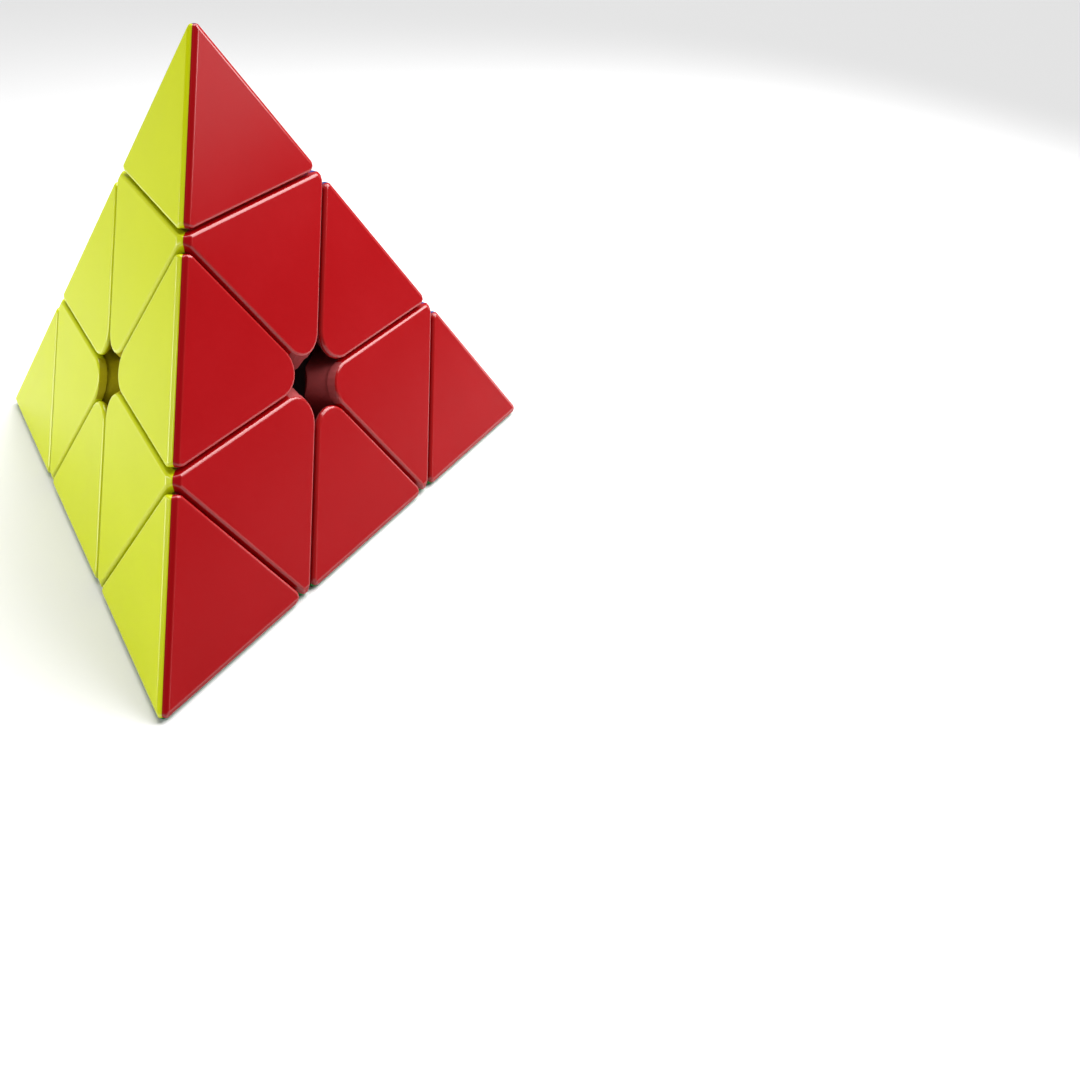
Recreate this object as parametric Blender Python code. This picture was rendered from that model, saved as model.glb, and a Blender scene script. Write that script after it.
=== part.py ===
"""Pyramid twisty puzzle: 4 tips, 4 centre pieces, 6 edge pieces on a screwed core. World metres, +Z up."""

import math

import bmesh
import bpy
import numpy as np
from mathutils import Matrix, Vector

# ---- driving sizes, millimetres ----
EDGE = 98.0                      # sharp edge of the tetrahedron
R_VERTEX = EDGE * math.sqrt(6) / 4   # centre to vertex
R_FACE = R_VERTEX / 3            # centre to face
H_LAYER = R_VERTEX / 9           # layer cut, along a vertex axis
H_TIP = R_VERTEX * 5 / 9         # tip cut, along a vertex axis
CUT = 0.2                        # half of the gap at every turning cut
WALL = 1.5                       # wall of the coloured shells
CAP = 1.2                        # depth of the proud rim round each shell
STEP = 0.2                       # side walls below the rim stand back by this much
FIT = 0.1                        # glued or pressed fit, part to part
SPLIT = 0.04                     # half of the gap at a colour joint
BREAK = 0.42                     # small edge break of every shell
RIDGE = 0.75                     # ridge of the outer chamfers below the sharp edge
RIDGE_TILT = 27.0                # outer chamfer, degrees off its face
CORNER_R = 1.1                   # panel corners on the outer edges
APEX_R = 4.3                     # panel corners at the face centres
CENTER_CUT = 1.0                 # centre-piece corners below the sharp edge
NOSE = 2.3                       # flat left at the very vertex, below the sharp point

BALL_OUT = 15.75                 # shells start here
BALL_SKIRT = (12.5, 15.4)        # skirts of the centre pieces
BALL_FOOT = (9.1, 12.2)          # feet of the edge pieces
SKIRT_DEG = 62.0
FOOT_DEG = 70.5
CLEAR_DEG = 0.7
BALL_NECK = (11.8, 17.2)         # necks between feet and plugs
NECK_HALF = 6.5
FOOT_HALF = 8.5
SLOT = (6.8, 2.5, 17.6)          # opening for the neck: half length, half width, height
WEB_LOW = 14.0                   # tube and ribs of the centre base start here
HUB_R = 4.9
TUBE_R = 5.6                     # tube of the centre base, round the spring and the socket
RIB = 0.9                        # half thickness of the ribs inside the shells
HUB_H = 8.9
HUB_TOP = 14.6

CORE_R = 6.3
POST_R = 3.6
POST_H = 8.6
THREAD_R = 1.65
THREAD_H = 3.2
SCREW_R = 1.5
SCREW_H = 3.6
HEAD_R = 2.9
HEAD_H = (21.0, 23.0)
HEX_R = 1.4
HEX_DEPTH = 1.3
BORE_R = 3.4
LEDGE_H = 11.8
LEDGE_R = 1.8
GROOVE_R = 4.0
GROOVE_H = (25.6, 28.0)
STEM_R = 3.0
STEM_H = 24.2
BULB_R = 3.55
BULB_H = (26.0, 27.6)
SPRING_R = 2.45
WIRE_R = 0.4
SPRING_H = (12.3, 20.5)
SPRING_TURNS = 6.0

SEG = 26                         # turned faces
BALL_SEG = 24
THROUGH = 2.0                    # a cutting tool runs this far past what it cuts
MM = 0.001

CORNERS = ("top", "front", "left", "right")
FACES = {"red": "left", "yellow": "right", "blue": "front", "green": "top"}   # colour: corner opposite
COLOURS = {
    "red": (0.55, 0.012, 0.016),
    "yellow": (0.60, 0.66, 0.01),
    "blue": (0.01, 0.06, 0.36),
    "green": (0.01, 0.30, 0.04),
    "inner": (0.045, 0.042, 0.042),
    "core": (0.62, 0.61, 0.57),
    "steel": (0.55, 0.55, 0.57),
}

LOW = -1 / 3
FAR = math.sqrt(8) / 3
AXIS = {
    "top": np.array([0.0, 0.0, 1.0]),
    "front": np.array([0.0, -FAR, LOW]),
    "left": np.array([-FAR * math.cos(math.pi / 6), FAR / 2, LOW]),
    "right": np.array([FAR * math.cos(math.pi / 6), FAR / 2, LOW]),
}


def others(*names):
    return [c for c in CORNERS if c not in names]


# ---- convex solids from half-spaces ----
def half(normal, offset):
    normal = np.asarray(normal, float)
    size = np.linalg.norm(normal)
    return np.append(normal / size, offset / size)


def fillet(p, q, radius, steps):
    """Planes tangent to a cylinder that rolls in the corner between planes p and q."""
    n, m = p[:3], q[:3]
    cosine = float(n @ m)
    a, b = np.linalg.solve([[1, cosine], [cosine, 1]], [p[3] - radius, q[3] - radius])
    centre = a * n + b * m
    angle = math.acos(cosine)
    out = []
    for k in range(1, steps + 1):
        t = k / (steps + 1)
        normal = (math.sin((1 - t) * angle) * n + math.sin(t * angle) * m) / math.sin(angle)
        out.append(half(normal, float(normal @ centre) + radius))
    return out


def corners_of(planes):
    """Vertices of the polytope, each with the planes that meet there."""
    p = np.array(planes)
    count = len(p)
    i, j, k = np.array([(i, j, k) for i in range(count) for j in range(i) for k in range(j)]).T
    trio = np.stack([p[i, :3], p[j, :3], p[k, :3]], axis=1)
    good = np.abs(np.linalg.det(trio)) > 1e-6
    trio = trio[good]
    rhs = np.stack([p[i, 3], p[j, 3], p[k, 3]], axis=1)[good]
    points = np.linalg.solve(trio, rhs[..., None])[..., 0]
    inside = np.all(points @ p[:, :3].T <= p[:, 3] + 1e-6, axis=1)
    found = []
    for v in points[inside]:
        if all(np.linalg.norm(v - w) > 1e-4 for w in found):
            found.append(v)
    return [(v, p[np.abs(p[:, :3] @ v - p[:, 3]) < 1e-5]) for v in found]


def hull(points):
    bm = bmesh.new()
    for v in points:
        bm.verts.new(v)
    result = bmesh.ops.convex_hull(bm, input=bm.verts)
    bmesh.ops.delete(bm, geom=list({*result["geom_unused"], *result["geom_interior"]}), context="VERTS")
    bmesh.ops.remove_doubles(bm, verts=bm.verts, dist=1e-4)
    bmesh.ops.dissolve_limit(bm, angle_limit=0.004, verts=bm.verts, edges=bm.edges)
    bmesh.ops.recalc_face_normals(bm, faces=bm.faces)
    return to_mesh(bm)


def to_mesh(bm):
    mesh = bpy.data.meshes.new("solid")
    bm.to_mesh(mesh)
    bm.free()
    return mesh


def inset(planes, distance):
    return [np.append(p[:3], p[3] - distance) for p in planes]


def convex(planes, edge_break=0.0):
    if not edge_break:
        return hull([v for v, _ in corners_of(planes)])
    points = []
    for v, meeting in corners_of(inset(planes, edge_break)):
        points += [v + edge_break * p[:3] for p in meeting]
    return hull(points)


# ---- turned solids ----
def frame_of(axis):
    z = Vector(axis).normalized()
    x = z.orthogonal().normalized()
    return Matrix((x, z.cross(x), z)).transposed()


def lathe(profile, axis=(0, 0, 1), seg=SEG):
    """Closed solid from (radius, height) points; the first and last lie on the axis."""
    turn = frame_of(axis)
    bm = bmesh.new()
    rings = []
    for radius, height in profile:
        if radius < 1e-9:
            rings.append([bm.verts.new(turn @ Vector((0, 0, height)))])
            continue
        rings.append([
            bm.verts.new(turn @ Vector((radius * math.cos(a), radius * math.sin(a), height)))
            for a in (2 * math.pi * k / seg for k in range(seg))
        ])
    for a, b in zip(rings, rings[1:]):
        for k in range(seg):
            n = (k + 1) % seg
            if len(a) == 1:
                bm.faces.new((a[0], b[k], b[n]))
            elif len(b) == 1:
                bm.faces.new((a[n], a[k], b[0]))
            else:
                bm.faces.new((a[k], b[k], b[n], a[n]))
    bmesh.ops.recalc_face_normals(bm, faces=bm.faces)
    return to_mesh(bm)


def rod(radius, low, high, axis, seg=SEG):
    return lathe([(0, low), (radius, low), (radius, high), (0, high)], axis, seg)


def cone(degrees, axis, outside=False, reach=25.0):
    radius = reach * math.tan(math.radians(degrees))
    if outside:
        radius /= math.cos(math.pi / SEG)
    return lathe([(0, 0), (radius, reach), (0, reach)], axis)


def ball(radius, outside=False, axis=(0, 0, 1)):
    rings = BALL_SEG // 2
    if outside:
        radius /= math.cos(math.pi / BALL_SEG) ** 2
    arc = [(radius * math.sin(math.pi * k / rings), -radius * math.cos(math.pi * k / rings))
           for k in range(1, rings)]
    return lathe([(0, -radius), *arc, (0, radius)], axis, BALL_SEG)


# ---- joining solids ----
def clean(mesh):
    """Merges flat neighbours where the result stays closed."""
    for flatten in (True, False):
        bm = bmesh.new()
        bm.from_mesh(mesh)
        bmesh.ops.remove_doubles(bm, verts=bm.verts, dist=1e-4)
        bmesh.ops.dissolve_degenerate(bm, edges=bm.edges, dist=1e-4)
        volume = bm.calc_volume()
        if flatten:
            bmesh.ops.dissolve_limit(bm, angle_limit=0.002, verts=bm.verts, edges=bm.edges)
        bmesh.ops.triangulate(bm, faces=bm.faces, quad_method="BEAUTY", ngon_method="BEAUTY")
        closed = all(len(e.link_faces) == 2 for e in bm.edges)
        if closed and abs(bm.calc_volume() - volume) < 1e-3 * volume:
            break
    return to_mesh(bm)


def combine(mesh, *steps):
    """Applies (operation, mesh) steps one after another."""
    for operation, tool_mesh in steps:
        current = bpy.data.objects.new("work", mesh)
        tool = bpy.data.objects.new("tool", tool_mesh)
        for obj in (current, tool):
            bpy.context.scene.collection.objects.link(obj)
        modifier = current.modifiers.new("boolean", "BOOLEAN")
        modifier.operation = operation
        modifier.solver = "EXACT"
        modifier.object = tool
        graph = bpy.context.evaluated_depsgraph_get()
        mesh = bpy.data.meshes.new_from_object(current.evaluated_get(graph))
        bpy.data.objects.remove(tool)
        bpy.data.objects.remove(current)
    return clean(mesh)


KEEP, CUT_AWAY, ADD = "INTERSECT", "DIFFERENCE", "UNION"
PLUG = (WALL + FIT, STEP + WALL + FIT)   # plugs and ribs stand this far inside the outer planes and the sides


# ---- the three outer cells ----
def face_plane(opposite):
    return half(-AXIS[opposite], R_FACE)


def outer_edge(a, b):
    """Ridge normal of outer edge a-b and its distance from the centre."""
    ridge = AXIS[a] + AXIS[b]
    ridge /= np.linalg.norm(ridge)
    return ridge, R_VERTEX * float(AXIS[a] @ ridge)


def ridge_plane(a, b, depth):
    ridge, far = outer_edge(a, b)
    return half(ridge, far - depth)


def edge_chamfers(a, b, depth):
    """Two planes that meet on the ridge of outer edge a-b, one tilted from each face."""
    ridge, far = outer_edge(a, b)
    point = ridge * (far - depth)
    out = []
    for c in others(a, b):
        flat = -AXIS[c]
        side = ridge - flat * float(flat @ ridge)
        side /= np.linalg.norm(side)
        t = math.radians(RIDGE_TILT)
        normal = math.cos(t) * flat + math.sin(t) * side
        out.append(half(normal, float(normal @ point)))
    return out


def tip_cell(x, skin=0.0, side=0.0, steps=2):
    """Half-spaces of a tip; outer planes stand skin inside its surface, turning cuts stand side inside."""
    cut = half(-AXIS[x], -(H_TIP + CUT))
    outer = [half(AXIS[x], R_VERTEX - NOSE)] + [face_plane(y) for y in others(x)]
    sides = [cut]
    for y in others(x):
        outer += edge_chamfers(x, y, RIDGE)
        sides += fillet(cut, ridge_plane(x, y, RIDGE), CORNER_R, steps)
    return inset(outer, skin) + inset(sides, side)


def edge_cell(a, b, skin=0.0, side=0.0, steps=2):
    cuts = [half(-AXIS[c], -(H_LAYER + CUT)) for c in (a, b)]
    outer = [face_plane(c) for c in others(a, b)] + edge_chamfers(a, b, RIDGE)
    sides = cuts + fillet(*cuts, APEX_R, steps)
    for cut in cuts:
        sides += fillet(cut, ridge_plane(a, b, RIDGE), CORNER_R, steps)
    return inset(outer, skin) + inset(sides, side)


def center_cell(x, skin=0.0, side=0.0, steps=2):
    flanks = {y: half(AXIS[y], H_LAYER - CUT) for y in others(x)}
    outer = [face_plane(y) for y in others(x)]
    sides = [half(-AXIS[x], -(H_LAYER + CUT)), half(AXIS[x], H_TIP - CUT), *flanks.values()]
    for y in others(x):
        outer += edge_chamfers(x, y, CENTER_CUT)
        a, b = others(x, y)
        sides += fillet(flanks[a], flanks[b], APEX_R, steps)
    return inset(outer, skin) + inset(sides, side)


def wedge(colour):
    """Everything seen from the centre through one face of the tetrahedron."""
    c = FACES[colour]
    points = [Vector(AXIS[y]) * 200 for y in others(c)]
    planes = []
    for k in range(3):
        a, b = points[k], points[(k + 1) % 3]
        n = a.cross(b).normalized()
        if n.dot(points[(k + 2) % 3]) > 0:
            n = -n
        planes.append(half(n, -SPLIT))
    planes.append(half(-AXIS[c], 60.0))
    return convex(planes)


# ---- nodes, built once and turned into place ----
def shell(cell, corners, *holes):
    """Coloured shell on one face of a cell: a proud rim, and side walls that stand back below it."""
    rim = combine(convex(cell(*corners), BREAK), (CUT_AWAY, convex(cell(*corners, CAP, -THROUGH, 1))))
    return combine(
        convex(cell(*corners, CAP / 2, STEP, 1)),
        (ADD, rim),
        (CUT_AWAY, convex(cell(*corners, WALL, STEP + WALL, 1))),
        *((CUT_AWAY, hole) for hole in holes),
        (KEEP, wedge("red")),
    )


def tip_shell():
    return shell(tip_cell, ["top"], rod(STEM_R + 0.2, H_TIP - 4, H_TIP + 4, AXIS["top"], 18))


def center_shell():
    return shell(center_cell, ["top"], ball(BALL_OUT, outside=True),
                 rod(BORE_R + 0.2, H_TIP - 4, H_TIP + 4, AXIS["top"], 18))


def edge_shell():
    return shell(edge_cell, ["top", "front"], ball(BALL_OUT, outside=True), block("top", "front", *SLOT))


def block(a, b, length, width, top):
    """Block on the middle line of edge a-b, from the centre to the given height."""
    c, d = others(a, b)
    across = AXIS[c] - AXIS[d]
    middle = AXIS[a] + AXIS[b]
    far = np.cross(across, middle)
    planes = [half(middle, top * np.linalg.norm(middle)), half(-middle, 0)]
    for side, reach in ((across, length), (far, width)):
        planes += [half(side, reach * np.linalg.norm(side)), half(-side, reach * np.linalg.norm(side))]
    return convex(planes)


def ribs(cell, x):
    """Three flat ribs through the axis of corner x, trimmed to a convex cell."""
    out = []
    for y in others(x):
        side = np.cross(AXIS[x], AXIS[y])
        side /= np.linalg.norm(side)
        out.append((ADD, convex(cell + [half(side, RIB), half(-side, RIB)])))
    return out


def tip_stem():
    x = "top"
    pin = [(0, STEM_H), (STEM_R - 0.5, STEM_H), (STEM_R, STEM_H + 0.6), (STEM_R, BULB_H[0] - 0.3),
           (BULB_R, BULB_H[0] + 0.3), (BULB_R, BULB_H[1] - 0.4), (STEM_R, BULB_H[1] + 0.2),
           (STEM_R, H_TIP + 5), (0, H_TIP + 5)]
    plug = convex(tip_cell(x, *PLUG, 1))
    return combine(plug, (ADD, lathe(pin, AXIS[x], 16)),
                   (CUT_AWAY, rod(1.6, STEM_H - 1, H_TIP + 8, AXIS[x], 12)))


def center_base():
    x = "top"
    skirt = combine(
        ball(BALL_SKIRT[1]),
        (CUT_AWAY, ball(BALL_SKIRT[0], outside=True)),
        (KEEP, cone(SKIRT_DEG - CLEAR_DEG, AXIS[x])),
        *[(CUT_AWAY, cone(SKIRT_DEG + CLEAR_DEG, AXIS[y], outside=True)) for y in others(x)],
    )
    cell = center_cell(x, *PLUG, 1)
    tube = combine(rod(TUBE_R, WEB_LOW, H_TIP, AXIS[x], 20), (KEEP, convex(cell)))
    web = combine(tube, *ribs(cell, x))
    web = combine(web, (CUT_AWAY, ball(WEB_LOW)))
    bore = [(0, 0), (LEDGE_R, 0), (LEDGE_R, LEDGE_H), (BORE_R, LEDGE_H), (BORE_R, GROOVE_H[0] - 0.5),
            (GROOVE_R, GROOVE_H[0]), (GROOVE_R, GROOVE_H[1]), (BORE_R, GROOVE_H[1] + 0.5),
            (BORE_R, H_TIP + 2), (0, H_TIP + 2)]
    return combine(skirt, (ADD, web), (ADD, rod(HUB_R, HUB_H, HUB_TOP, AXIS[x], 20)),
                   (CUT_AWAY, lathe(bore, AXIS[x], 18)))


def edge_foot():
    a, b = "top", "front"

    def ring(radii, degrees, width):
        return combine(
            ball(radii[1]),
            (CUT_AWAY, ball(radii[0], outside=True)),
            (KEEP, cone(degrees, AXIS[a])),
            (KEEP, cone(degrees, AXIS[b])),
            (KEEP, block(a, b, width, 60, 60)),
        )

    plug = convex(edge_cell(a, b, *PLUG, 1))
    neck = ring(BALL_NECK, SKIRT_DEG - CLEAR_DEG, NECK_HALF)
    foot = ring(BALL_FOOT, FOOT_DEG - CLEAR_DEG, FOOT_HALF)
    return combine(plug, (ADD, neck), (ADD, foot))


def core():
    steps = [(ADD, rod(POST_R, 0.5, POST_H, AXIS[c], 20)) for c in CORNERS]
    steps += [(CUT_AWAY, rod(THREAD_R, THREAD_H, POST_H + 2, AXIS[c], 12)) for c in CORNERS]
    return combine(lathe([(0, -CORE_R), *[(CORE_R * math.sin(a), -CORE_R * math.cos(a))
                   for a in (math.pi * k / 9 for k in range(1, 9))], (0, CORE_R)], seg=18), *steps)


def screw():
    profile = [(0, SCREW_H), (SCREW_R - 0.4, SCREW_H), (SCREW_R, SCREW_H + 0.6), (SCREW_R, HEAD_H[0]),
               (HEAD_R, HEAD_H[0]), (HEAD_R, HEAD_H[1] - 0.4), (HEAD_R - 0.4, HEAD_H[1]), (0, HEAD_H[1])]
    return combine(lathe(profile, AXIS["top"], 16),
                   (CUT_AWAY, rod(HEX_R, HEAD_H[1] - HEX_DEPTH, HEAD_H[1] + 1, AXIS["top"], 6)))


def spring():
    """Round wire on a helix, ends ground flat only by their caps."""
    steps = int(SPRING_TURNS * 9)
    sides = 5
    bm = bmesh.new()
    rings = []
    for k in range(steps + 1):
        a = 2 * math.pi * SPRING_TURNS * k / steps
        h = SPRING_H[0] + (SPRING_H[1] - SPRING_H[0]) * k / steps
        centre = Vector((SPRING_R * math.cos(a), SPRING_R * math.sin(a), h))
        out = Vector((math.cos(a), math.sin(a), 0))
        along = Vector((-math.sin(a), math.cos(a), 0.08)).normalized()
        up = out.cross(along)
        rings.append([bm.verts.new(centre + WIRE_R * (math.cos(t) * out + math.sin(t) * up))
                      for t in (2 * math.pi * s / sides for s in range(sides))])
    for r, q in zip(rings, rings[1:]):
        for s in range(sides):
            n = (s + 1) % sides
            bm.faces.new((r[s], r[n], q[n], q[s]))
    bm.faces.new(rings[0])
    bm.faces.new(list(reversed(rings[-1])))
    bmesh.ops.recalc_face_normals(bm, faces=bm.faces)
    return to_mesh(bm)


# ---- placing ----
def turn_to(source, target):
    """Rotation that carries the corners in source onto those in target."""
    s = np.array([AXIS[c] for c in source[:3]]).T
    t = np.array([AXIS[c] for c in target[:3]]).T
    return Matrix((t @ np.linalg.inv(s)).tolist()).to_4x4()


def material(name, colour):
    found = bpy.data.materials.new(name)
    found.use_nodes = True
    shader = found.node_tree.nodes["Principled BSDF"]
    shader.inputs["Base Color"].default_value = (*COLOURS[colour], 1)
    shader.inputs["Roughness"].default_value = 0.3 if colour == "steel" else 0.4
    shader.inputs["Metallic"].default_value = 1.0 if colour == "steel" else 0.0
    return found


def place(name, mesh, turn, colour, smooth=False):
    copy = mesh.copy()
    copy.name = name
    copy.transform(turn)
    copy.transform(Matrix.Scale(MM, 4))
    obj = bpy.data.objects.new(name, copy)
    copy.materials.clear()
    copy.materials.append(material(name, colour))
    if smooth:
        copy.shade_smooth()
        copy.set_sharp_from_angle(angle=math.radians(28))
    bpy.context.scene.collection.objects.link(obj)
    return obj


def oriented(a, b, colour):
    """Order of the corners: a, b, the third one on the coloured face, the hidden one."""
    hidden = FACES[colour]
    third = others(a, b, hidden)[0]
    return (a, b, third, hidden)


def even(order):
    index = [CORNERS.index(c) for c in order]
    swaps = sum(index[i] > index[j] for i in range(4) for j in range(i + 1, 4))
    return swaps % 2 == 0


def build():
    for obj in list(bpy.data.objects):
        bpy.data.objects.remove(obj)
    solids = {f.__name__: f() for f in (tip_shell, center_shell, edge_shell, tip_stem, center_base,
                                        edge_foot, core, screw, spring)}
    start = oriented("top", "front", "red")
    for x in CORNERS:
        for colour, hidden in FACES.items():
            if hidden == x:
                continue
            pair = [y for y in others(x) if y != hidden]
            order = (x, pair[0], pair[1], hidden)
            if even(order) != even(start):
                order = (x, pair[1], pair[0], hidden)
            turn = turn_to(start, order)
            place(f"{x}_tip_{colour}_shell", solids["tip_shell"], turn, colour)
            place(f"{x}_center_{colour}_shell", solids["center_shell"], turn, colour)
        turn = turn_to(start, order)
        place(f"{x}_tip_stem", solids["tip_stem"], turn, "inner", True)
        place(f"{x}_center_base", solids["center_base"], turn, "inner", True)
        place(f"{x}_screw", solids["screw"], turn, "steel", True)
        place(f"{x}_spring", solids["spring"], turn, "steel", True)
    for i, a in enumerate(CORNERS):
        for b in CORNERS[i + 1:]:
            for colour, hidden in FACES.items():
                if hidden in (a, b):
                    continue
                order = oriented(a, b, colour)
                if even(order) != even(start):
                    order = oriented(b, a, colour)
                turn = turn_to(start, order)
                place(f"{a}_{b}_edge_{colour}_shell", solids["edge_shell"], turn, colour)
            place(f"{a}_{b}_edge_foot", solids["edge_foot"], turn, "inner", True)
    place("core", solids["core"], Matrix.Identity(4), "core", True)


build()
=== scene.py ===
"""Looks of the pyramid twisty puzzle: moulded colour shells, inner parts, materials, light and camera."""

import itertools
import math

import bmesh
import bpy
import numpy as np
from mathutils import Matrix, Vector


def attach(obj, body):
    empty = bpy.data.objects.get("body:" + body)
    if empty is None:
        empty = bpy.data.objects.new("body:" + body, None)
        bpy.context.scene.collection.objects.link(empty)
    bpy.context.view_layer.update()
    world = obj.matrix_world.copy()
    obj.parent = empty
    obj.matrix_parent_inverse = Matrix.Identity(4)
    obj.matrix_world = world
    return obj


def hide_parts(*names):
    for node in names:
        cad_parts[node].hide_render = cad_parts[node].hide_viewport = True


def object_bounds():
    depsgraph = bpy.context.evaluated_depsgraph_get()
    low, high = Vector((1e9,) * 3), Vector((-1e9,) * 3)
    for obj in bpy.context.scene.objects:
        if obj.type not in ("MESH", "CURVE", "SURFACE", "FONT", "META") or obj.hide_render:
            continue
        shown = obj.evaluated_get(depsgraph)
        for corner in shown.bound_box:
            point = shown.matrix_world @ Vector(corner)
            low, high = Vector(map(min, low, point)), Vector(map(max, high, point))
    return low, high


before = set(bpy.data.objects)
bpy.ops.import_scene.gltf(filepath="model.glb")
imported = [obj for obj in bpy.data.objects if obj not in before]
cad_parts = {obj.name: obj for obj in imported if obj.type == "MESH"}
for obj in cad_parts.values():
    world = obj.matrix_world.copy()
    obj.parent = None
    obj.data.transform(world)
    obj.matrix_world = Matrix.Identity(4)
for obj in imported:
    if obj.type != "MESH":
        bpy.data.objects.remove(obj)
CAD_BOX = [list(corner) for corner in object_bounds()]

# ---- outer shape, millimetres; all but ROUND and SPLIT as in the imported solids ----
EDGE = 98.0                          # sharp edge of the tetrahedron
R_VERTEX = EDGE * math.sqrt(6) / 4   # centre to vertex
R_FACE = R_VERTEX / 3                # centre to face
H_LAYER = R_VERTEX / 9               # layer cut, along a vertex axis
H_TIP = R_VERTEX * 5 / 9             # tip cut, along a vertex axis
CUT = 0.2                            # half of the gap at every turning cut
WALL = 1.5                           # wall of the coloured shells
CAP = 1.2                            # depth of the proud rim round each shell
STEP = 0.2                           # side walls below the rim stand back by this much
FIT = 0.1                            # glued or pressed fit, part to part
PLUG = (WALL + FIT, STEP + WALL + FIT)   # plugs stand this far inside the outer planes and the sides
SPLIT = 0.004                        # half of the gap at a colour joint, seen as a sharp line
ROUND = 0.55                         # rolled edge of every moulded panel
RIDGE = 0.75                         # ridge of the outer chamfers below the sharp edge
RIDGE_TILT = 27.0                    # outer chamfer, degrees off its face
CORNER_R = 1.1                       # panel corners on the outer edges
APEX_R = 4.3                         # panel corners at the face centres
CENTER_CUT = 1.0                     # centre-piece corners below the sharp edge
NOSE = 2.3                           # flat left at the very vertex, below the sharp point

# ---- inner parts, millimetres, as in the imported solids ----
BALL_OUT = 15.75                     # shells start here
BALL_SKIRT = (12.5, 15.4)            # skirts of the centre pieces
BALL_FOOT = (9.1, 12.2)              # feet of the edge pieces
BALL_NECK = (11.8, 17.2)             # necks between feet and plugs
SKIRT_DEG = 62.0                     # half opening of a skirt, seen from the centre
FOOT_DEG = 70.5                      # how far a foot reaches under it
CLEAR_DEG = 0.7                      # gap beside both
NECK_HALF = 6.5                      # half lengths
FOOT_HALF = 8.5
SLOT = (6.8, 2.5, 17.6)              # opening for the neck: half length, half width, height
WEB_LOW = 14.0                       # tube and ribs of the centre base start here
HUB_R = 4.9                          # hub that the screw goes through
HUB_H = 8.9
HUB_TOP = 14.6
TUBE_R = 5.6                         # tube of the centre base, round the spring and the socket
RIB = 0.9                            # half thickness of the ribs inside the shells
LEDGE_H = 11.8                       # ledge that the spring stands on
LEDGE_R = 1.8
BORE_R = 3.4                         # socket for the pin of the tip
GROOVE_R = 4.0                       # groove that the pin's bulb snaps into
GROOVE_H = (25.6, 28.0)
GROOVE_RAMP = 0.5
STEM_R = 3.0                         # pin of the tip
STEM_H = 24.2
STEM_ROOT = H_TIP + 5                # the pin is rooted in the plug
STEM_CHAMFER = (0.5, 0.6)            # at the pin's end, across and along
STEM_BORE_R = 1.6
STEM_BORE_H = (STEM_H - 1, H_TIP + 8)
BULB_R = 3.55
BULB_H = (26.0, 27.6)
BULB_RAMP = 0.3                      # slope below the bulb
BULB_BACK = (0.4, 0.2)               # slope above it, inside and outside its height
HOLE_PLAY = 0.2                      # holes in the shells are this much wider than pin and socket
HOLE_REACH = 4                       # and are cut this far to both sides of the tip cut

# ---- fineness and tolerances ----
SEEN, CUT_OFF, HIDDEN = 7, 2, 1      # planes in a panel corner of a visible, a cutting and a hidden solid
ROLL_STEP = math.radians(11)         # facets of a rolled edge
SMOOTH = math.radians(35)            # sharper edges than this stay sharp in shading
SEG = 72                             # cones
PIN_SEG = 48                         # rods, pins and bores
BALL_SEG = 96
BALL_AXIS = (0.3, 0.2, 1)            # poles of the balls, off every cut
THROUGH = 2.0                        # a cutting tool runs this far past what it cuts
CONE_REACH = 25.0
BEYOND = 60.0                        # farther out than any part
FAR_POINT = 200
WELD = 1e-4                          # points closer than this are one
ON_PLANE = 1e-5                      # a point this close to a plane is on it
PAST_PLANE = 1e-6                    # a vertex may stand this far outside a plane
NO_CORNER = 1e-7                     # determinant of three planes that share no single point
ON_AXIS = 1e-9
FLAT = 0.004                         # radians; flatter neighbours become one face
SAME_WAY = 0.9995                    # cosine above which two directions count as one
MM = 0.001

CORNERS = ("top", "front", "left", "right")
FACES = {"red": "left", "yellow": "right", "blue": "front", "green": "top"}   # colour: corner opposite

LOW = -1 / 3
FAR = math.sqrt(8) / 3
AXIS = {
    "top": np.array([0.0, 0.0, 1.0]),
    "front": np.array([0.0, -FAR, LOW]),
    "left": np.array([-FAR * math.cos(math.pi / 6), FAR / 2, LOW]),
    "right": np.array([FAR * math.cos(math.pi / 6), FAR / 2, LOW]),
}
KEEP, CUT_AWAY, ADD = "INTERSECT", "DIFFERENCE", "UNION"


def others(*names):
    return [c for c in CORNERS if c not in names]


# ---- convex solids from half-spaces, each a normal and an offset ----
def half(normal, offset):
    normal = np.asarray(normal, float)
    size = np.linalg.norm(normal)
    return np.append(normal / size, offset / size)


def inset(planes, distance):
    return [np.append(p[:3], p[3] - distance) for p in planes]


def between(a, b, angle, t):
    """Direction at the share t of the way from a to b, which are angle apart."""
    return (math.sin((1 - t) * angle) * a + math.sin(t * angle) * b) / math.sin(angle)


def fillet(p, q, radius, steps):
    """Planes tangent to a cylinder that rolls in the corner between planes p and q."""
    n, m = p[:3], q[:3]
    cosine = float(n @ m)
    a, b = np.linalg.solve([[1, cosine], [cosine, 1]], [p[3] - radius, q[3] - radius])
    centre = a * n + b * m
    angle = math.acos(cosine)
    out = []
    for k in range(1, steps + 1):
        normal = between(n, m, angle, k / (steps + 1))
        out.append(half(normal, float(normal @ centre) + radius))
    return out


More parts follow.
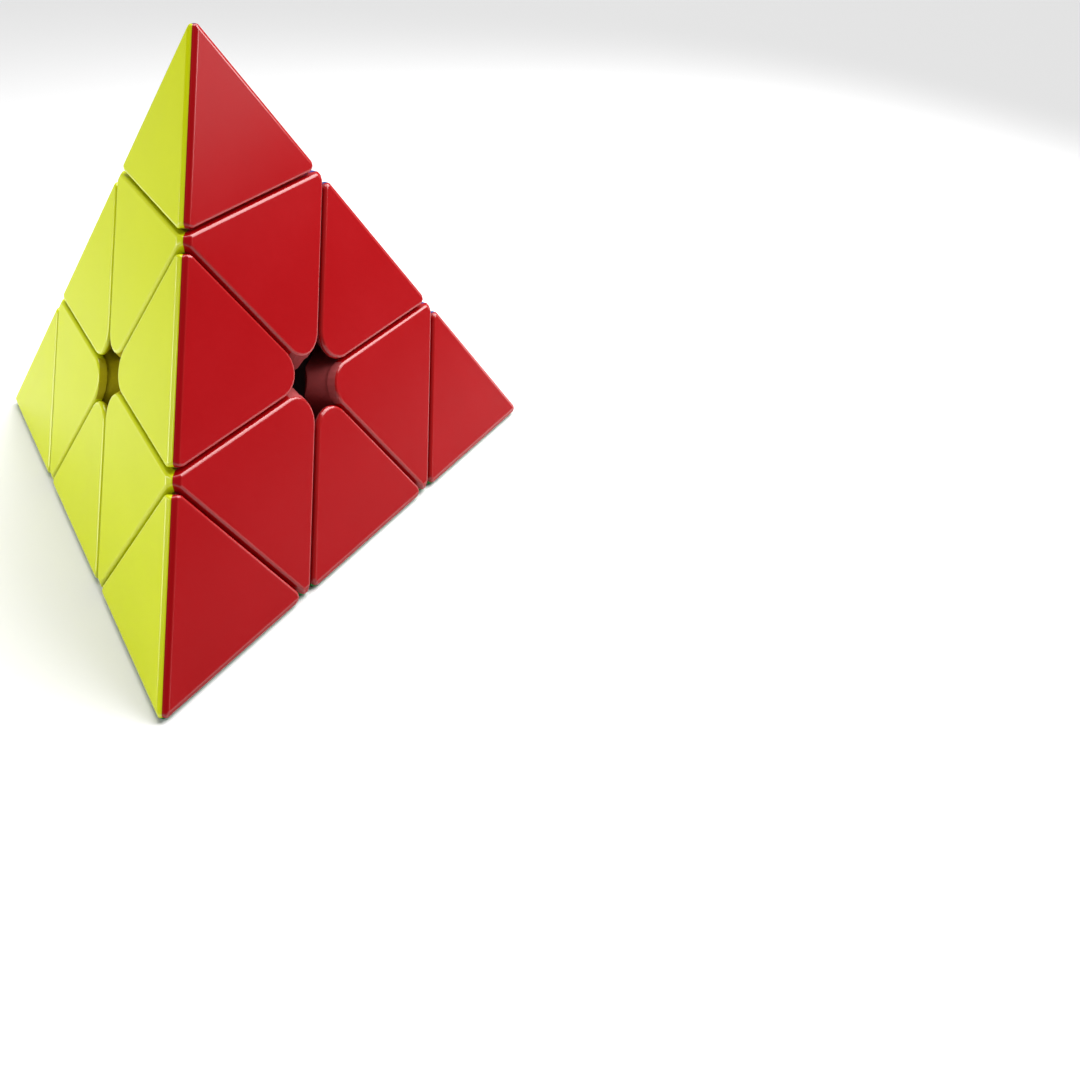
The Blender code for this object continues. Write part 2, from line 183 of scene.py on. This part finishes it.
def corners_of(planes):
    """Vertices of the polytope, each with the planes that meet there."""
    p = np.array(planes)
    count = len(p)
    i, j, k = np.array([(i, j, k) for i in range(count) for j in range(i) for k in range(j)]).T
    trio = np.stack([p[i, :3], p[j, :3], p[k, :3]], axis=1)
    good = np.abs(np.linalg.det(trio)) > NO_CORNER
    trio = trio[good]
    offsets = np.stack([p[i, 3], p[j, 3], p[k, 3]], axis=1)[good]
    points = np.linalg.solve(trio, offsets[..., None])[..., 0]
    inside = np.all(points @ p[:, :3].T <= p[:, 3] + PAST_PLANE, axis=1)
    found = []
    for v in points[inside]:
        if all(np.linalg.norm(v - w) > WELD for w in found):
            found.append(v)
    return [(v, p[np.abs(p[:, :3] @ v - p[:, 3]) < ON_PLANE]) for v in found]


def arc(a, b):
    """Directions between a and b, at even steps, without a and b themselves."""
    angle = math.acos(max(-1.0, min(1.0, float(a @ b))))
    parts = int(math.ceil(angle / ROLL_STEP))
    return [between(a, b, angle, k / parts) for k in range(1, parts)]


def spread(normals):
    """Directions that fill the cone of these normals, its own corners included."""
    out = list(normals)
    for i, a in enumerate(normals):
        for b in normals[:i]:
            out += arc(a, b)
    if len(normals) > 2:
        middle = sum(normals)
        middle /= np.linalg.norm(middle)
        rim = list(out)
        out.append(middle)
        for n in rim:
            out += arc(n, middle)
    return out


def to_mesh(bm):
    mesh = bpy.data.meshes.new("solid")
    bm.to_mesh(mesh)
    bm.free()
    return mesh


def hull(points):
    bm = bmesh.new()
    for v in points:
        bm.verts.new(v)
    result = bmesh.ops.convex_hull(bm, input=bm.verts)
    bmesh.ops.delete(bm, geom=list({*result["geom_unused"], *result["geom_interior"]}), context="VERTS")
    bmesh.ops.remove_doubles(bm, verts=bm.verts, dist=WELD)
    bmesh.ops.dissolve_limit(bm, angle_limit=FLAT, verts=bm.verts, edges=bm.edges)
    bmesh.ops.recalc_face_normals(bm, faces=bm.faces)
    return to_mesh(bm)


def convex(planes, rounding=0.0):
    """Solid inside all these planes, its edges rolled with the given radius."""
    if not rounding:
        return hull([v for v, _ in corners_of(planes)])
    points = []
    for v, meeting in corners_of(inset(planes, rounding)):
        points += [v + rounding * d for d in spread([p[:3] for p in meeting])]
    return hull(points)


# ---- turned solids ----
def frame_of(axis):
    z = Vector(axis).normalized()
    x = z.orthogonal().normalized()
    return Matrix((x, z.cross(x), z)).transposed()


def lathe(profile, axis, seg):
    """Closed solid from (radius, height) points; the first and last lie on the axis."""
    turn = frame_of(axis)
    bm = bmesh.new()
    rings = []
    for radius, height in profile:
        if radius < ON_AXIS:
            rings.append([bm.verts.new(turn @ Vector((0, 0, height)))])
            continue
        rings.append([
            bm.verts.new(turn @ Vector((radius * math.cos(a), radius * math.sin(a), height)))
            for a in (2 * math.pi * k / seg for k in range(seg))
        ])
    for a, b in zip(rings, rings[1:]):
        for k in range(seg):
            n = (k + 1) % seg
            if len(a) == 1:
                bm.faces.new((a[0], b[k], b[n]))
            elif len(b) == 1:
                bm.faces.new((a[n], a[k], b[0]))
            else:
                bm.faces.new((a[k], b[k], b[n], a[n]))
    bmesh.ops.recalc_face_normals(bm, faces=bm.faces)
    return to_mesh(bm)


def rod(radius, low, high, axis):
    return lathe([(0, low), (radius, low), (radius, high), (0, high)], axis, PIN_SEG)


def ball(radius):
    rings = BALL_SEG // 2
    outline = [(radius * math.sin(math.pi * k / rings), -radius * math.cos(math.pi * k / rings))
               for k in range(1, rings)]
    return lathe([(0, -radius), *outline, (0, radius)], BALL_AXIS, BALL_SEG)


def cone(degrees, axis):
    radius = CONE_REACH * math.tan(math.radians(degrees))
    return lathe([(0, 0), (radius, CONE_REACH), (0, CONE_REACH)], axis, SEG)


# ---- joining solids ----
def clean(mesh):
    bm = bmesh.new()
    bm.from_mesh(mesh)
    bmesh.ops.remove_doubles(bm, verts=bm.verts, dist=WELD)
    bmesh.ops.dissolve_degenerate(bm, edges=bm.edges, dist=WELD)
    return to_mesh(bm)


def combine(mesh, *steps):
    """Applies (operation, mesh) steps one after another."""
    for operation, tool_mesh in steps:
        current = bpy.data.objects.new("work", mesh)
        tool = bpy.data.objects.new("tool", tool_mesh)
        for obj in (current, tool):
            bpy.context.scene.collection.objects.link(obj)
        modifier = current.modifiers.new("boolean", "BOOLEAN")
        modifier.operation = operation
        modifier.solver = "EXACT"
        modifier.object = tool
        graph = bpy.context.evaluated_depsgraph_get()
        mesh = bpy.data.meshes.new_from_object(current.evaluated_get(graph))
        bpy.data.objects.remove(tool)
        bpy.data.objects.remove(current)
    return clean(mesh)


# ---- the three outer cells ----
def face_plane(opposite):
    return half(-AXIS[opposite], R_FACE)


def outer_edge(a, b):
    """Ridge normal of outer edge a-b and its distance from the centre."""
    ridge = AXIS[a] + AXIS[b]
    ridge /= np.linalg.norm(ridge)
    return ridge, R_VERTEX * float(AXIS[a] @ ridge)


def ridge_plane(a, b, depth):
    ridge, far = outer_edge(a, b)
    return half(ridge, far - depth)


def edge_chamfers(a, b, depth):
    """Two planes that meet on the ridge of outer edge a-b, one tilted from each face."""
    ridge, far = outer_edge(a, b)
    point = ridge * (far - depth)
    tilt = math.radians(RIDGE_TILT)
    out = []
    for c in others(a, b):
        flat = -AXIS[c]
        side = ridge - flat * float(flat @ ridge)
        side /= np.linalg.norm(side)
        normal = math.cos(tilt) * flat + math.sin(tilt) * side
        out.append(half(normal, float(normal @ point)))
    return out


def tip_cell(x, skin=0.0, side=0.0, steps=SEEN):
    """Half-spaces of a tip; outer planes stand skin inside its surface, turning cuts stand side inside."""
    cut = half(-AXIS[x], -(H_TIP + CUT))
    outer = [half(AXIS[x], R_VERTEX - NOSE)] + [face_plane(y) for y in others(x)]
    sides = [cut]
    for y in others(x):
        outer += edge_chamfers(x, y, RIDGE)
        sides += fillet(cut, ridge_plane(x, y, RIDGE), CORNER_R, steps)
    return inset(outer, skin) + inset(sides, side)


def edge_cell(a, b, skin=0.0, side=0.0, steps=SEEN):
    cuts = [half(-AXIS[c], -(H_LAYER + CUT)) for c in (a, b)]
    outer = [face_plane(c) for c in others(a, b)] + edge_chamfers(a, b, RIDGE)
    sides = cuts + fillet(*cuts, APEX_R, steps)
    for cut in cuts:
        sides += fillet(cut, ridge_plane(a, b, RIDGE), CORNER_R, steps)
    return inset(outer, skin) + inset(sides, side)


def center_cell(x, skin=0.0, side=0.0, steps=SEEN):
    flanks = {y: half(AXIS[y], H_LAYER - CUT) for y in others(x)}
    outer = [face_plane(y) for y in others(x)]
    sides = [half(-AXIS[x], -(H_LAYER + CUT)), half(AXIS[x], H_TIP - CUT), *flanks.values()]
    for y in others(x):
        outer += edge_chamfers(x, y, CENTER_CUT)
        a, b = others(x, y)
        sides += fillet(flanks[a], flanks[b], APEX_R, steps)
    return inset(outer, skin) + inset(sides, side)


def wedge(colour):
    """Everything seen from the centre through one face of the tetrahedron."""
    opposite = FACES[colour]
    points = [Vector(AXIS[y]) * FAR_POINT for y in others(opposite)]
    planes = []
    for k in range(3):
        a, b = points[k], points[(k + 1) % 3]
        n = a.cross(b).normalized()
        if n.dot(points[(k + 2) % 3]) > 0:
            n = -n
        planes.append(half(n, -SPLIT))
    planes.append(half(-AXIS[opposite], BEYOND))
    return convex(planes)


def block(a, b, length, width, top):
    """Block on the middle line of edge a-b, from the centre to the given height."""
    c, d = others(a, b)
    across = AXIS[c] - AXIS[d]
    middle = AXIS[a] + AXIS[b]
    far = np.cross(across, middle)
    planes = [half(middle, top * np.linalg.norm(middle)), half(-middle, 0)]
    for side, reach in ((across, length), (far, width)):
        planes += [half(side, reach * np.linalg.norm(side)), half(-side, reach * np.linalg.norm(side))]
    return convex(planes)


# ---- coloured shells ----
POLISHED, SIDE_WALL, ROLLED_EDGE = 0, 1, 2    # material slots of a coloured shell
BELOW_ROLL = ROUND + 0.02            # depth just below the rolled edge
RIM_END = CAP - 0.01                 # depth just above the lower end of the rim


def shell(cell, corners, *holes):
    """Coloured shell on one face of a cell: a rolled, proud rim and plainer side walls below it, the walls
    in a coat with painted shade and painted reflection haze, the rolled edges in a coat with a painted
    highlight.
    """
    rim = combine(convex(cell(*corners), ROUND), (CUT_AWAY, convex(cell(*corners, CAP, -THROUGH, CUT_OFF))))
    mesh = combine(
        convex(cell(*corners, CAP / 2, STEP)),
        (ADD, rim),
        (CUT_AWAY, convex(cell(*corners, WALL, STEP + WALL, HIDDEN))),
        *((CUT_AWAY, hole) for hole in holes),
        (KEEP, wedge("red")),
    )
    depths = [np.array(cell(*corners, depth, -THROUGH, CUT_OFF)) for depth in (BELOW_ROLL, RIM_END)]
    flats = np.array(cell(*corners))[:, :3]
    axes = np.array(list(AXIS.values()))
    for face in mesh.polygons:
        centre, normal = np.array(face.center), np.array(face.normal)
        below_roll, below_rim = (np.all(p[:, :3] @ centre < p[:, 3]) for p in depths)
        straight = np.max(np.abs(axes @ normal)) > SAME_WAY
        # faces below the rim get the side-wall coat, whose tone is painted shade and painted reflection
        # haze
        if below_rim or (below_roll and not straight):
            face.material_index = SIDE_WALL
        # rolled faces get the edge coat, whose tone is painted a little lighter as a painted highlight
        elif below_roll or np.max(flats @ normal) < SAME_WAY:
            face.material_index = ROLLED_EDGE
    return mesh


def make_shells():
    top, front = "top", "front"
    low, high = H_TIP - HOLE_REACH, H_TIP + HOLE_REACH
    return {
        "tip": shell(tip_cell, [top], rod(STEM_R + HOLE_PLAY, low, high, AXIS[top])),
        "center": shell(center_cell, [top], ball(BALL_OUT), rod(BORE_R + HOLE_PLAY, low, high, AXIS[top])),
        "edge": shell(edge_cell, [top, front], ball(BALL_OUT), block(top, front, *SLOT)),
    }


# ---- inner parts, seen in the holes and when a layer turns ----
def stem_mesh():
    """Tip stem: the plug inside the three tip shells, with the pin that snaps into the centre base."""
    x = "top"
    across, along = STEM_CHAMFER
    low, high = BULB_H
    inside, outside = BULB_BACK
    pin = [(0, STEM_H), (STEM_R - across, STEM_H), (STEM_R, STEM_H + along), (STEM_R, low - BULB_RAMP),
           (BULB_R, low + BULB_RAMP), (BULB_R, high - inside), (STEM_R, high + outside),
           (STEM_R, STEM_ROOT), (0, STEM_ROOT)]
    return combine(convex(tip_cell(x, *PLUG, HIDDEN)), (ADD, lathe(pin, AXIS[x], PIN_SEG)),
                   (CUT_AWAY, rod(STEM_BORE_R, *STEM_BORE_H, AXIS[x])))


def base_mesh():
    """Centre base: round skirt, tube, ribs and hub, bored for screw, spring and tip."""
    x = "top"
    skirt = combine(
        ball(BALL_SKIRT[1]),
        (CUT_AWAY, ball(BALL_SKIRT[0])),
        (KEEP, cone(SKIRT_DEG - CLEAR_DEG, AXIS[x])),
        *[(CUT_AWAY, cone(SKIRT_DEG + CLEAR_DEG, AXIS[y])) for y in others(x)],
    )
    cell = center_cell(x, *PLUG, HIDDEN)
    web = combine(rod(TUBE_R, WEB_LOW, H_TIP, AXIS[x]), (KEEP, convex(cell)))
    for y in others(x):
        side = np.cross(AXIS[x], AXIS[y])
        side /= np.linalg.norm(side)
        web = combine(web, (ADD, convex(cell + [half(side, RIB), half(-side, RIB)])))
    web = combine(web, (CUT_AWAY, ball(WEB_LOW)))
    low, high = GROOVE_H
    bore = [(0, 0), (LEDGE_R, 0), (LEDGE_R, LEDGE_H), (BORE_R, LEDGE_H), (BORE_R, low - GROOVE_RAMP),
            (GROOVE_R, low), (GROOVE_R, high), (BORE_R, high + GROOVE_RAMP),
            (BORE_R, H_TIP + THROUGH), (0, H_TIP + THROUGH)]
    return combine(skirt, (ADD, web), (ADD, rod(HUB_R, HUB_H, HUB_TOP, AXIS[x])),
                   (CUT_AWAY, lathe(bore, AXIS[x], PIN_SEG)))


def foot_mesh():
    """Edge foot: plug in the edge shells, neck between two skirts, foot under them."""
    a, b = "top", "front"

    def ring(radii, degrees, half_length):
        return combine(
            ball(radii[1]),
            (CUT_AWAY, ball(radii[0])),
            (KEEP, cone(degrees, AXIS[a])),
            (KEEP, cone(degrees, AXIS[b])),
            (KEEP, block(a, b, half_length, BEYOND, BEYOND)),
        )

    plug = convex(edge_cell(a, b, *PLUG, HIDDEN))
    neck = ring(BALL_NECK, SKIRT_DEG - CLEAR_DEG, NECK_HALF)
    foot = ring(BALL_FOOT, FOOT_DEG - CLEAR_DEG, FOOT_HALF)
    return combine(plug, (ADD, neck), (ADD, foot))


# ---- placing ----
START = ("top", "front", "right", "left")     # shells are built at the first of these, opposite the last


def even(order):
    index = [CORNERS.index(c) for c in order]
    return sum(a > b for a, b in itertools.combinations(index, 2)) % 2 == 0


def turn_to(*orders):
    """Rotation that carries START onto the one of these orders that isn't its mirror image."""
    target = next(order for order in orders if even(order) == even(START))
    s = np.array([AXIS[c] for c in START[:3]]).T
    t = np.array([AXIS[c] for c in target[:3]]).T
    return Matrix((t @ np.linalg.inv(s)).tolist()).to_4x4()


def corner_turn(x, hidden):
    a, b = others(x, hidden)
    return turn_to((x, a, b, hidden), (x, b, a, hidden))


def edge_turn(a, b, hidden):
    third = others(a, b, hidden)[0]
    return turn_to((a, b, third, hidden), (b, a, third, hidden))


# ---- materials ----
MOTTLING = (90.0, 3.0)               # scale per metre and detail of the flow in a moulded part
GRAIN = (5200.0, 2.0)                # of its surface grain
SCRATCHES = (900.0, 2.0)             # of the steel
GRAIN_HEIGHT = 0.00003               # metres
SMOOTHER, ROUGHER = 0.05, 0.06       # how far the mottling changes the roughness
DULL, GLOSSY = 0.06, 0.45            # specular level

FINISH = (                           # by material slot: name ending, roughness, grain, specular level
    ("", 0.24, 0.12, DULL),
    # side walls: rougher finish, and a tone darkened and greyed as painted shade and painted reflection
    # haze
    ("_unpolished_painted_shade", 0.5, 0.3, DULL),
    # rolled edges: glossier, and a tone painted a little lighter as a painted highlight
    ("_edge", 0.18, 0.05, GLOSSY),
)
# The rolled-edge tones are a little lighter than the panels: a painted highlight.
# The side-wall tones are darker and greyer than the panels: painted shade and painted reflection haze,
# warmer for yellow as painted bounce light.
TONES = {                            # by material slot: darker and lighter tone of the mottling
    "red": (
        ((0.27, 0.0025, 0.004), (0.30, 0.0035, 0.006)),
        ((0.26, 0.042, 0.043), (0.30, 0.052, 0.054)),
        ((0.29, 0.001, 0.002), (0.32, 0.002, 0.003)),
    ),
    "yellow": (
        ((0.51, 0.57, 0.001), (0.55, 0.61, 0.002)),
        ((0.36, 0.31, 0.002), (0.40, 0.34, 0.004)),
        ((0.53, 0.58, 0.001), (0.57, 0.62, 0.002)),
    ),
    "blue": (
        ((0.004, 0.028, 0.165), (0.006, 0.034, 0.19)),
        ((0.008, 0.03, 0.13), (0.011, 0.036, 0.15)),
        ((0.005, 0.03, 0.175), (0.007, 0.036, 0.2)),
    ),
    "green": (
        ((0.005, 0.16, 0.022), (0.008, 0.18, 0.03)),
        ((0.01, 0.12, 0.025), (0.014, 0.14, 0.03)),
        ((0.006, 0.17, 0.024), (0.009, 0.19, 0.032)),
    ),
}


def material(name):
    found = bpy.data.materials.new(name)
    found.use_nodes = True
    return found, found.node_tree, found.node_tree.nodes["Principled BSDF"]


def noise(tree, scale, detail):
    """Noise in the piece's own coordinates, so that it moves with the piece."""
    place = tree.nodes.new("ShaderNodeTexCoord")
    texture = tree.nodes.new("ShaderNodeTexNoise")
    texture.inputs["Scale"].default_value = scale
    texture.inputs["Detail"].default_value = detail
    tree.links.new(place.outputs["Object"], texture.inputs["Vector"])
    return texture.outputs["Fac"]


def vary_roughness(tree, shader, factor, low, high):
    level = tree.nodes.new("ShaderNodeMapRange")
    level.inputs["To Min"].default_value = low
    level.inputs["To Max"].default_value = high
    tree.links.new(factor, level.inputs["Value"])
    tree.links.new(level.outputs["Result"], shader.inputs["Roughness"])


def plastic(name, dark, light, rough, grain, gloss):
    """Moulded plastic, coloured through, with a fine spark-eroded grain and a faint flow mottling."""
    found, tree, shader = material(name)
    flow = noise(tree, *MOTTLING)
    tone = tree.nodes.new("ShaderNodeMix")
    tone.data_type = "RGBA"
    tone.inputs["A"].default_value = (*dark, 1)
    tone.inputs["B"].default_value = (*light, 1)
    tree.links.new(flow, tone.inputs["Factor"])
    tree.links.new(tone.outputs["Result"], shader.inputs["Base Color"])
    vary_roughness(tree, shader, flow, rough - SMOOTHER, rough + ROUGHER)
    bump = tree.nodes.new("ShaderNodeBump")
    bump.inputs["Strength"].default_value = grain
    bump.inputs["Distance"].default_value = GRAIN_HEIGHT
    tree.links.new(noise(tree, *GRAIN), bump.inputs["Height"])
    tree.links.new(bump.outputs["Normal"], shader.inputs["Normal"])
    shader.inputs["IOR"].default_value = 1.5
    shader.inputs["Specular IOR Level"].default_value = gloss
    return found


def steel():
    found, tree, shader = material("zinc_steel")
    vary_roughness(tree, shader, noise(tree, *SCRATCHES), 0.24, 0.4)
    shader.inputs["Base Color"].default_value = (0.6, 0.6, 0.62, 1)
    shader.inputs["Metallic"].default_value = 1.0
    return found


COATS = {
    colour: [plastic(f"{colour}_plastic{ending}", *tones, *finish)
             for tones, (ending, *finish) in zip(by_slot, FINISH)]
    for colour, by_slot in TONES.items()
}
GREY = plastic("inner_plastic", (0.035, 0.028, 0.028), (0.05, 0.042, 0.042), 0.5, 0.2, DULL)
NYLON = plastic("core_nylon", (0.60, 0.59, 0.55), (0.66, 0.65, 0.6), 0.45, 0.15, DULL)
STEEL = steel()


# ---- pieces ----
def show(name, mesh, turn, body, node, coats):
    """Copy of a mesh, turned into place, on a body, instead of a CAD node."""
    copy = mesh.copy()
    copy.name = name
    copy.transform(turn)
    copy.transform(Matrix.Scale(MM, 4))
    zones = [face.material_index for face in copy.polygons]
    copy.materials.clear()
    for coat in coats:
        copy.materials.append(coat)
    if len(coats) > 1:
        copy.polygons.foreach_set("material_index", zones)
    copy.shade_smooth()
    copy.set_sharp_from_angle(angle=SMOOTH)
    obj = bpy.data.objects.new(name, copy)
    bpy.context.scene.collection.objects.link(obj)
    weighted = obj.modifiers.new("weighted", "WEIGHTED_NORMAL")
    weighted.weight = 100
    weighted.keep_sharp = True
    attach(obj, body)
    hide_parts(node)


def build_shells():
    shells = make_shells()
    for colour, hidden in FACES.items():
        coats, slot = COATS[colour], f"{colour}_plastic"
        for x in others(hidden):
            turn = corner_turn(x, hidden)
            for part in ("tip", "center"):
                show(f"{x}_{part}_{colour}_panel", shells[part], turn, f"{x}_{part}",
                     f"{x}_{part}_{colour}_shell", coats)
        for a, b in itertools.combinations(others(hidden), 2):
            show(f"{a}_{b}_edge_{colour}_panel", shells["edge"], edge_turn(a, b, hidden),
                 f"{a}_{b}_edge", f"{a}_{b}_edge_{colour}_shell", coats)


def build_inner_parts():
    stem, base, foot = stem_mesh(), base_mesh(), foot_mesh()
    for x in CORNERS:
        turn = corner_turn(x, others(x)[-1])
        show(f"{x}_tip_core", stem, turn, f"{x}_tip", f"{x}_tip_stem", [GREY])
        show(f"{x}_center_frame", base, turn, f"{x}_center", f"{x}_center_base", [GREY])
    for a, b in itertools.combinations(CORNERS, 2):
        show(f"{a}_{b}_edge_hook", foot, edge_turn(a, b, others(a, b)[0]), f"{a}_{b}_edge",
             f"{a}_{b}_edge_foot", [GREY])


def coat_cad_parts():
    """The core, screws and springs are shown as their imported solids."""
    for name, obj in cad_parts.items():
        if name == "core":
            coat = NYLON
        elif name.endswith(("_screw", "_spring")):
            coat = STEEL
        else:
            continue
        for slot in obj.material_slots:
            slot.material = coat


# ---- stage, light, camera; metres ----
CAMERA_PLACE = (0.03929, -0.17033, 0.09633)
CAMERA_ANGLES = (6.11, 28.56, -1.98)     # azimuth, elevation and roll in degrees
CAMERA_SHIFT = (0.171, -0.157)           # the photograph is cropped off centre


def lamp(name, kind, power):
    obj = bpy.data.objects.new(name, bpy.data.lights.new(name, kind))
    obj.data.energy = power
    bpy.context.scene.collection.objects.link(obj)
    return obj


def softbox(name, place, target, side, power, spread_degrees):
    """Square lamp that shines from a place towards a target."""
    obj = lamp(name, "AREA", power)
    obj.data.shape = "RECTANGLE"
    obj.data.size = obj.data.size_y = side
    obj.data.spread = math.radians(spread_degrees)
    obj.location = place
    obj.rotation_euler = (Vector(target) - Vector(place)).to_track_quat("-Z", "Y").to_euler()


def lights():
    world = bpy.data.worlds.new("studio")
    world.use_nodes = True
    world.node_tree.nodes["Background"].inputs["Color"].default_value = (1, 1, 1, 1)
    world.node_tree.nodes["Background"].inputs["Strength"].default_value = 0.2
    bpy.context.scene.world = world
    ceiling = lamp("ceiling_wash", "SUN", 2.9)
    ceiling.data.angle = math.radians(50)
    ceiling.rotation_euler = (math.radians(-30), 0, 0)
    softbox("right_box", (0.18, 0.11, 0.20), (0.01, 0, 0.05), 0.28, 0.95, 120)
    softbox("left_box", (-0.27, -0.07, 0.06), (0, -0.01, -0.005), 0.14, 0.20, 110)


def floor():
    bm = bmesh.new()
    bmesh.ops.create_grid(bm, x_segments=1, y_segments=1, size=3.0)
    mesh = to_mesh(bm)
    coat, _, shader = material("floor_paint")
    shader.inputs["Base Color"].default_value = (0.74, 0.74, 0.74, 1)
    shader.inputs["Roughness"].default_value = 0.7
    mesh.materials.append(coat)
    obj = bpy.data.objects.new("floor", mesh)
    obj.location = (0, 0, CAD_BOX[0][2])
    bpy.context.scene.collection.objects.link(obj)


def camera():
    azimuth, elevation, roll = (math.radians(angle) for angle in CAMERA_ANGLES)
    back = Vector((math.sin(azimuth) * math.cos(elevation), -math.cos(azimuth) * math.cos(elevation),
                   math.sin(elevation)))
    level = Vector((0, 0, 1)).cross(back).normalized()
    upright = back.cross(level)
    right = math.cos(roll) * level + math.sin(roll) * upright
    up = -math.sin(roll) * level + math.cos(roll) * upright
    data = bpy.data.cameras.new("camera")
    data.sensor_width = 36.0
    data.lens = 40.9
    data.shift_x, data.shift_y = CAMERA_SHIFT
    data.clip_start, data.clip_end = 0.01, 20
    obj = bpy.data.objects.new("camera", data)
    obj.matrix_world = Matrix.Translation(CAMERA_PLACE) @ Matrix((right, up, back)).transposed().to_4x4()
    bpy.context.scene.collection.objects.link(obj)
    bpy.context.scene.camera = obj


bpy.context.scene.view_settings.view_transform = "Standard"
build_shells()
build_inner_parts()
coat_cad_parts()
floor()
lights()
camera()
